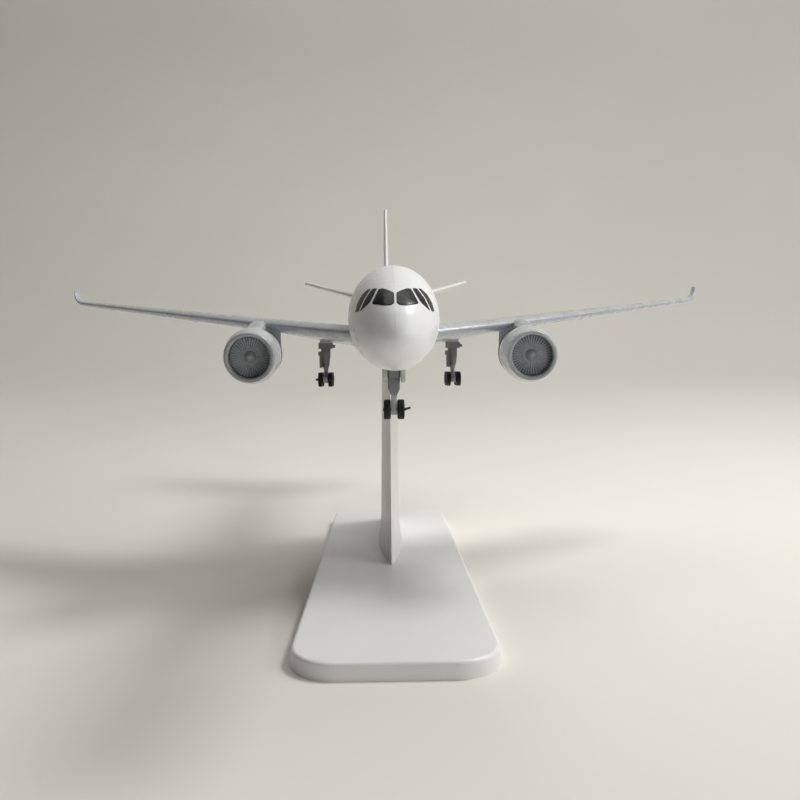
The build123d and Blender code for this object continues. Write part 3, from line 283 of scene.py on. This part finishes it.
def nacelle_enamel():
    """White barrel with a grey inlet lip, painted shade on the underside and the inside wall, cowl
    joints and a small vent.
    """
    paint = Paint("nacelle_enamel", coat=0.5, coat_roughness=0.06)
    across, height, radius = engine_place(paint)
    back = paint.math("SUBTRACT", paint.y, INLET_Y)

    mottle = paint.mapped(paint.noise(5 * MM, 3.0), 0.3, 0.75)
    barrel = paint.mix(mottle, srgb(196, 199, 201), srgb(188, 191, 194))
    lip = paint.mix(mottle, srgb(170, 174, 178), srgb(160, 164, 168))
    is_lip = paint.mapped(back, LIP_LENGTH, LIP_LENGTH - 0.15 * MM)
    colour = paint.mix(is_lip, barrel, lip)
    # painted shade: the underside darkens towards the bottom
    underside_painted_shade = paint.math("MULTIPLY", paint.mapped(height, 0.0, -BARREL_RADIUS - 0.15 * MM), 0.6)
    colour = paint.mix(underside_painted_shade, colour, srgb(126, 128, 128))
    # the hump on top carries the wing's blue-grey
    is_hump = paint.mapped(height, BARREL_RADIUS + 0.01 * MM, BARREL_RADIUS + 0.15 * MM)
    colour = paint.mix(is_hump, colour, paint.mix(mottle, srgb(168, 172, 177), srgb(156, 160, 165)))
    # joints behind the lip and round the cowl, and one along its side
    behind_lip = paint.math("SUBTRACT", back, LIP_LENGTH - NACELLE_JOINT_HALF_WIDTH)
    lip_joint = paint.line(behind_lip, NACELLE_JOINT_HALF_WIDTH)
    cowl_joint = paint.line(paint.math("SUBTRACT", back, COWL_JOINT_BACK), 0.06 * MM)
    behind_cowl = paint.mapped(back, COWL_JOINT_BACK - 0.1 * MM, COWL_JOINT_BACK + 0.1 * MM)
    side_joint = paint.math("MULTIPLY", paint.line(height, NACELLE_JOINT_HALF_WIDTH), behind_cowl)
    outside = paint.mapped(radius, LIP_RADIUS + 0.2 * MM, LIP_RADIUS + 0.5 * MM)
    lines = paint.math("MULTIPLY", paint.largest(lip_joint, cowl_joint, side_joint), outside)
    colour = paint.mix(paint.math("MULTIPLY", lines, 0.5), colour, srgb(110, 112, 114))
    # small dark vent, on the inboard side only
    vent_y = paint.math("DIVIDE", paint.math("SUBTRACT", back, VENT_BACK), VENT_HALF_LENGTH)
    vent_z = paint.math("DIVIDE", paint.math("SUBTRACT", height, VENT_HEIGHT), VENT_HALF_HEIGHT)
    vent = paint.math("ADD", paint.math("POWER", vent_y, 2.0), paint.math("POWER", vent_z, 2.0))
    inboard = paint.mapped(across, -4.5 * MM, -5.0 * MM)
    vent = paint.math("MULTIPLY", paint.mapped(vent, 1.15, 0.85), inboard)
    colour = paint.mix(vent, colour, srgb(52, 52, 50))
    # painted shade on the inside wall, dark in the bore behind the lip's bright ring
    in_bore = paint.mapped(radius, THROAT_RADIUS + 0.04 * MM, THROAT_RADIUS - 0.02 * MM)
    wall = paint.math("MULTIPLY", in_bore, paint.mapped(back, 0.5 * MM, 0.9 * MM))
    colour = paint.mix(wall, colour, srgb(92, 96, 98))
    peel = paint.bump(paint.noise(1.4 * MM, 2.0), 0.006 * MM, 0.4)
    engraved = paint.math("SUBTRACT", 1.0, paint.math("MAXIMUM", lines, vent))
    normal = paint.bump(engraved, 0.03 * MM, 0.6, peel)
    roughness = paint.mapped(paint.noise(3 * MM, 4.0), 0.3, 0.75, 0.22, 0.34)
    return paint.finish(colour, normal, roughness)


def moulded_plastic(name, tone, dark_tone, roughness_range, grain, peel=0.6, coat=0.0, dust_share=0.0):
    """Injection-moulded plastic: grain of the size given, faint flow marks and uneven gloss."""
    paint = Paint(name, coat=coat, coat_roughness=0.2)
    flow = paint.mapped(paint.noise(14 * MM, 3.0, (1.0, 0.35, 1.0)), 0.3, 0.75)
    colour = paint.mix(flow, srgb(*tone), srgb(*dark_tone))
    if dust_share:
        dust = paint.specks(9 * MM, 0.24 * MM, dust_share)
        colour = paint.mix(paint.math("MULTIPLY", dust, 0.7), colour, srgb(110, 108, 102))
    broad = paint.bump(paint.noise(1.6 * MM, 3.0), 0.01 * MM, peel)
    normal = paint.bump(paint.noise(grain, 2.0), 0.006 * MM, 0.6, broad)
    low, high = roughness_range
    roughness = paint.mapped(paint.noise(5 * MM, 4.0), 0.3, 0.75, low, high)
    return paint.finish(colour, normal, roughness)


def gear_plastic():
    """Grey moulding of the gear legs: the upper part painted darker as shade under the fuselage, a
    lighter lower strut and bogie.
    """
    paint = Paint("gear_plastic")
    flow = paint.mapped(paint.noise(3 * MM, 3.0, (1.0, 1.0, 0.4)), 0.3, 0.75)
    shaded_housing = paint.mix(flow, srgb(124, 127, 126), srgb(110, 113, 112))
    strut = paint.mix(flow, srgb(166, 169, 169), srgb(152, 155, 155))
    # painted shade: darker above STRUT_TOP_Z, where the fuselage shades the legs
    colour = paint.mix(paint.mapped(paint.z, STRUT_TOP_Z, STRUT_TOP_Z - 0.8 * MM), shaded_housing, strut)
    broad = paint.bump(paint.noise(1.2 * MM, 3.0), 0.01 * MM, 0.6)
    normal = paint.bump(paint.noise(0.2 * MM, 2.0), 0.006 * MM, 0.6, broad)
    roughness = paint.mapped(paint.noise(2 * MM, 4.0), 0.3, 0.75, 0.32, 0.48)
    return paint.finish(colour, normal, roughness)


def fan_plastic():
    """Grey moulding whose mid grey is a painted reflection, with raised rib tops painted lighter as a
    painted highlight, unevenly.
    """
    paint = Paint("fan_plastic", coat=0.3, coat_roughness=0.15)
    radius = engine_place(paint)[2]
    raised = paint.mapped(paint.y, FAN_FACE_Y - 0.15 * MM, FAN_FACE_Y - 0.4 * MM)
    past_hub = paint.mapped(radius, FAN_HUB_RADIUS - 0.1 * MM, FAN_HUB_RADIUS + 0.5 * MM)
    rib = paint.math("MULTIPLY", raised, past_hub)
    # painted highlight on the rib tops, uneven along them; the base grey is a painted reflection
    rib_painted_highlight = paint.math("MULTIPLY", rib, paint.mapped(paint.noise(0.7 * MM, 3.0), 0.25, 0.6, 0.55, 1.0))
    colour = paint.mix(rib_painted_highlight, srgb(144, 149, 154), srgb(178, 184, 190))
    normal = paint.bump(paint.noise(0.2 * MM, 2.0), 0.004 * MM, 0.5)
    roughness = paint.mapped(paint.noise(1.2 * MM, 3.0), 0.3, 0.75, 0.22, 0.36)
    return paint.finish(colour, normal, roughness)


def wheel_black():
    """Near-black moulded plastic of the wheels, a little grimy."""
    paint = Paint("wheel_plastic", specular=0.3)
    grime = paint.mapped(paint.noise(0.9 * MM, 3.0), 0.35, 0.75)
    colour = paint.mix(grime, srgb(14, 15, 16), srgb(25, 25, 24))
    normal = paint.bump(paint.noise(0.18 * MM, 3.0), 0.012 * MM, 0.8)
    roughness = paint.mapped(paint.noise(0.5 * MM, 2.0), 0.3, 0.75, 0.38, 0.58)
    return paint.finish(colour, normal, roughness)


def steel(name, tone, roughness_range):
    """Drawn or turned steel: fine lines across the axis and a little tarnish."""
    paint = Paint(name, metallic=1.0)
    tarnish = paint.mapped(paint.noise(0.9 * MM, 4.0), 0.3, 0.75)
    colour = paint.mix(tarnish, srgb(*tone), srgb(*(v - 26 for v in tone)))
    normal = paint.bump(paint.noise(0.12 * MM, 2.0, (8.0, 1.0, 1.0)), 0.004 * MM, 0.5)
    low, high = roughness_range
    roughness = paint.mapped(paint.noise(0.4 * MM, 2.0), 0.3, 0.75, low, high)
    return paint.finish(colour, normal, roughness)


def pane_gloss():
    """Printed black gloss of the cockpit panes, with faint print unevenness."""
    paint = Paint("pane_gloss", specular=0.16)
    uneven = paint.mapped(paint.noise(1.5 * MM, 3.0), 0.35, 0.7)
    colour = paint.mix(uneven, srgb(21, 22, 26), srgb(29, 30, 34))
    normal = paint.bump(paint.noise(0.5 * MM, 2.0), 0.004 * MM, 0.5)
    roughness = paint.mapped(paint.noise(1.0 * MM, 2.0), 0.3, 0.75, 0.18, 0.28)
    return paint.finish(colour, normal, roughness)


def stage_paper():
    """Pale matt paper of the floor and backdrop."""
    paint = Paint("stage_paper", roughness=0.85)
    tone = paint.mapped(paint.noise(250 * MM, 2.0), 0.3, 0.7)
    colour = paint.mix(tone, srgb(229, 226, 219), srgb(225, 222, 215))
    normal = paint.bump(paint.noise(1.2 * MM, 2.0), 0.02 * MM, 0.4)
    return paint.finish(colour, normal)


enamel = white_enamel()
leg_plastic = gear_plastic()
door_plastic = moulded_plastic("door_plastic", (188, 190, 188), (176, 178, 176), (0.34, 0.5), 0.2 * MM)
tail_plastic = moulded_plastic("tail_plastic", (216, 217, 213), (208, 209, 204), (0.32, 0.46), 0.25 * MM)
# painted light: a lighter blue-grey than the wing's, brightening the shaded pylon
pylon_painted_light = moulded_plastic(
    "pylon_painted_light", (196, 201, 208), (184, 189, 196), (0.3, 0.44), 0.3 * MM, coat=0.2
)
stand_plastic = moulded_plastic(
    "stand_plastic", (233, 232, 230), (229, 228, 225), (0.34, 0.46), 0.3 * MM,
    peel=0.5, coat=0.12, dust_share=0.05
)
wing_paint = wing_enamel()
nacelle_paint = nacelle_enamel()
fan_paint = fan_plastic()
wheel_plastic = wheel_black()
axle_steel = steel("axle_steel", (92, 92, 90), (0.28, 0.42))
screw_steel = steel("screw_steel", (176, 174, 168), (0.22, 0.38))
pane_paint = pane_gloss()

# a node takes the first finish here whose word is in the node's name
FINISHES = (
    ("stand_screws", screw_steel),
    ("fuselage_screws", screw_steel),
    ("wing_screws", screw_steel),
    ("stand_", stand_plastic),
    ("fuselage_", enamel),
    ("tail_fin", tail_plastic),
    ("tailplane", tail_plastic),
    ("pylon", pylon_painted_light),
    ("nacelle", nacelle_paint),
    ("_fan", fan_paint),
    ("_wing", wing_paint),
    ("axle", axle_steel),
    ("wheel", wheel_plastic),
    ("door", door_plastic),
    ("leg", leg_plastic),
)
for node_name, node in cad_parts.items():
    finish = next(material for word, material in FINISHES if word in node_name)
    for slot in node.material_slots:
        slot.material = finish


# ---------------------------------------------------------------- cockpit panes
AHEAD_OF_NOSE_Y = cad_box[0][1] - 40 * MM
PANE_PROUD = 0.05 * MM  # the pane's face over the shell, and its rim and middle under it
PANE_SUNK = 0.08 * MM
PANE_MIDDLE_SUNK = 0.4 * MM
PANE_RINGS = 12
CORNER_SHARE = 0.16  # of an edge, at each end, goes into the corner's rounding
CORNER_STEPS = 5
STRAIGHT_STEPS = 4
# front view of each port pane in millimetres: distance from the centre plane, height over the axis
FRONT_PANE = (
    (0.2, 2.84), (0.2, 4.6), (1.2, 5.08), (2.15, 5.4), (2.9, 5.3), (4.2, 2.66), (1.95, 2.4), (0.8, 2.46)
)
FORWARD_SIDE_PANE = ((4.48, 2.95), (3.15, 5.4), (4.02, 5.38), (5.3, 3.6), (6.36, 1.26))
REAR_SIDE_PANE = (
    (6.66, 1.2), (5.58, 3.6), (4.32, 5.38), (4.85, 5.28), (5.95, 4.3), (6.84, 2.7), (7.2, 1.2)
)

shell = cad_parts["fuselage_upper_shell"]
shell_surface = BVHTree.FromPolygons(
    [vertex.co.copy() for vertex in shell.data.vertices],
    [tuple(face.vertices) for face in shell.data.polygons],
)


def rounded_outline(corners):
    """Closed outline of straight edges and rounded corners, as 2-D points."""
    outline = []
    count = len(corners)
    for i, corner in enumerate(corners):
        here = Vector(corner)
        coming = Vector(corners[(i + 1) % count])
        before = here.lerp(Vector(corners[i - 1]), CORNER_SHARE)
        after = here.lerp(coming, CORNER_SHARE)
        for k in range(CORNER_STEPS + 1):
            t = k / CORNER_STEPS
            outline.append((1 - t) ** 2 * before + 2 * t * (1 - t) * here + t**2 * after)
        # straight stretch up to the next corner's rounding
        following = coming.lerp(here, CORNER_SHARE)
        for k in range(1, STRAIGHT_STEPS):
            outline.append(after.lerp(following, k / STRAIGHT_STEPS))
    return outline


def on_nose(x, height, proud):
    """Where a line straight back from x, height in millimetres meets the shell, moved out by proud."""
    start = Vector((x * MM, AHEAD_OF_NOSE_Y, AXIS_Z + height * MM))
    place, normal, _, _ = shell_surface.ray_cast(start, Vector((0, 1, 0)))
    return place + normal * proud


def pane(name, corners, side):
    """Thin gloss pane that follows the shell, with a rim that goes down into it."""
    outline = rounded_outline(corners)
    centre = sum(outline, Vector((0, 0))) / len(outline)
    mesh = bmesh.new()
    middle = mesh.verts.new(on_nose(side * centre.x, centre.y, PANE_PROUD))
    previous = None
    for ring in range(1, PANE_RINGS + 1):
        share = ring / PANE_RINGS
        row = []
        for point in outline:
            spot = centre.lerp(point, share)
            row.append(mesh.verts.new(on_nose(side * spot.x, spot.y, PANE_PROUD)))
        for i in range(len(row)):
            j = (i + 1) % len(row)
            if previous is None:
                mesh.faces.new((middle, row[i], row[j]))
            else:
                mesh.faces.new((previous[i], row[i], row[j], previous[j]))
        previous = row
    # rim under the surface, closed underneath
    rim = [mesh.verts.new(on_nose(side * point.x, point.y, -PANE_SUNK)) for point in outline]
    bottom = mesh.verts.new(on_nose(side * centre.x, centre.y, -PANE_MIDDLE_SUNK))
    for i in range(len(rim)):
        j = (i + 1) % len(rim)
        mesh.faces.new((previous[i], rim[i], rim[j], previous[j]))
        mesh.faces.new((bottom, rim[j], rim[i]))
    bmesh.ops.recalc_face_normals(mesh, faces=mesh.faces)
    for face in mesh.faces:
        face.smooth = True
    data = bpy.data.meshes.new(name)
    mesh.to_mesh(data)
    mesh.free()
    data.materials.append(pane_paint)
    piece = bpy.data.objects.new(name, data)
    bpy.context.scene.collection.objects.link(piece)
    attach(piece, "airframe")


for side_name, side in (("port", 1), ("starboard", -1)):
    pane(f"cockpit_front_{side_name}", FRONT_PANE, side)
    pane(f"cockpit_side_forward_{side_name}", FORWARD_SIDE_PANE, side)
    pane(f"cockpit_side_rear_{side_name}", REAR_SIDE_PANE, side)


# ---------------------------------------------------------------- stage, light and camera
def backdrop():
    """Sheet of paper: flat floor that curves up into a wall well behind the object."""
    half_width = 1.6
    front_y = -1.2
    bend_y = 0.50
    bend_radius = 0.40
    wall_top = 1.8
    profile = [(front_y, 0.0), (0.0, 0.0), (bend_y, 0.0)]
    steps = 24
    for i in range(1, steps + 1):
        angle = pi / 2 * i / steps
        profile.append((bend_y + bend_radius * sin(angle), bend_radius * (1 - cos(angle))))
    profile.append((bend_y + bend_radius, wall_top))
    vertices = [(x, y, z) for y, z in profile for x in (-half_width, half_width)]
    faces = [(2 * i, 2 * i + 1, 2 * i + 3, 2 * i + 2) for i in range(len(profile) - 1)]
    data = bpy.data.meshes.new("floor")
    data.from_pydata(vertices, [], faces)
    for face in data.polygons:
        face.use_smooth = True
    data.materials.append(stage_paper())
    sheet = bpy.data.objects.new("floor", data)
    bpy.context.scene.collection.objects.link(sheet)


backdrop()


def area_light(name, place, target, size, power, colour):
    """Round area light size metres across, power watts, at place and facing target."""
    data = bpy.data.lights.new(name, "AREA")
    data.shape = "DISK"
    data.size = size
    data.energy = power
    data.color = colour
    lamp = bpy.data.objects.new(name, data)
    lamp.location = place
    lamp.rotation_mode = "QUATERNION"
    lamp.rotation_quaternion = (Vector(target) - Vector(place)).to_track_quat("-Z", "Y")
    bpy.context.scene.collection.objects.link(lamp)


# a lamp overhead, a small one behind the camera, a broad one on the right, and the ceiling
area_light("key", (0.24, 0.03, 0.42), (0, 0, 0.03), 0.13, 0.98, (1.0, 1.0, 0.985))
area_light("lamp", (0.42, -0.95, 0.24), (0, 0, 0.06), 0.06, 1.30, (1.0, 1.0, 0.99))
area_light("right_soft", (1.1, -0.25, 0.55), (0, 0, 0.05), 1.0, 6.00, (1.0, 1.0, 0.99))
area_light("ceiling", (0.12, 0.5, 1.5), (0.05, 0.5, 0), 1.4, 10.4, (1.0, 1.0, 0.985))

world = bpy.data.worlds.new("studio")
world.use_nodes = True
world.node_tree.nodes["Background"].inputs["Color"].default_value = (1.0, 1.0, 0.97, 1.0)
world.node_tree.nodes["Background"].inputs["Strength"].default_value = 0.05
bpy.context.scene.world = world

FOCAL_LENGTH = 39.6
SENSOR = 36.0
CAMERA_PLACE = (-0.00305, -0.2500, 0.0762)
YAW = radians(1.38)
PITCH_DOWN = radians(6.80)
ROLL = radians(0.35)
lens = bpy.data.cameras.new("camera")
lens.lens = FOCAL_LENGTH
lens.sensor_width = SENSOR
lens.clip_start = 0.01
lens.clip_end = 20.0
camera = bpy.data.objects.new("camera", lens)
camera.location = CAMERA_PLACE
camera.rotation_mode = "QUATERNION"
forward = Vector((sin(YAW) * cos(PITCH_DOWN), cos(YAW) * cos(PITCH_DOWN), -sin(PITCH_DOWN)))
camera.rotation_quaternion = forward.to_track_quat("-Z", "Y") @ Quaternion((0, 0, 1), -ROLL)
bpy.context.scene.collection.objects.link(camera)
bpy.context.scene.camera = camera
bpy.context.scene.view_settings.view_transform = "Standard"
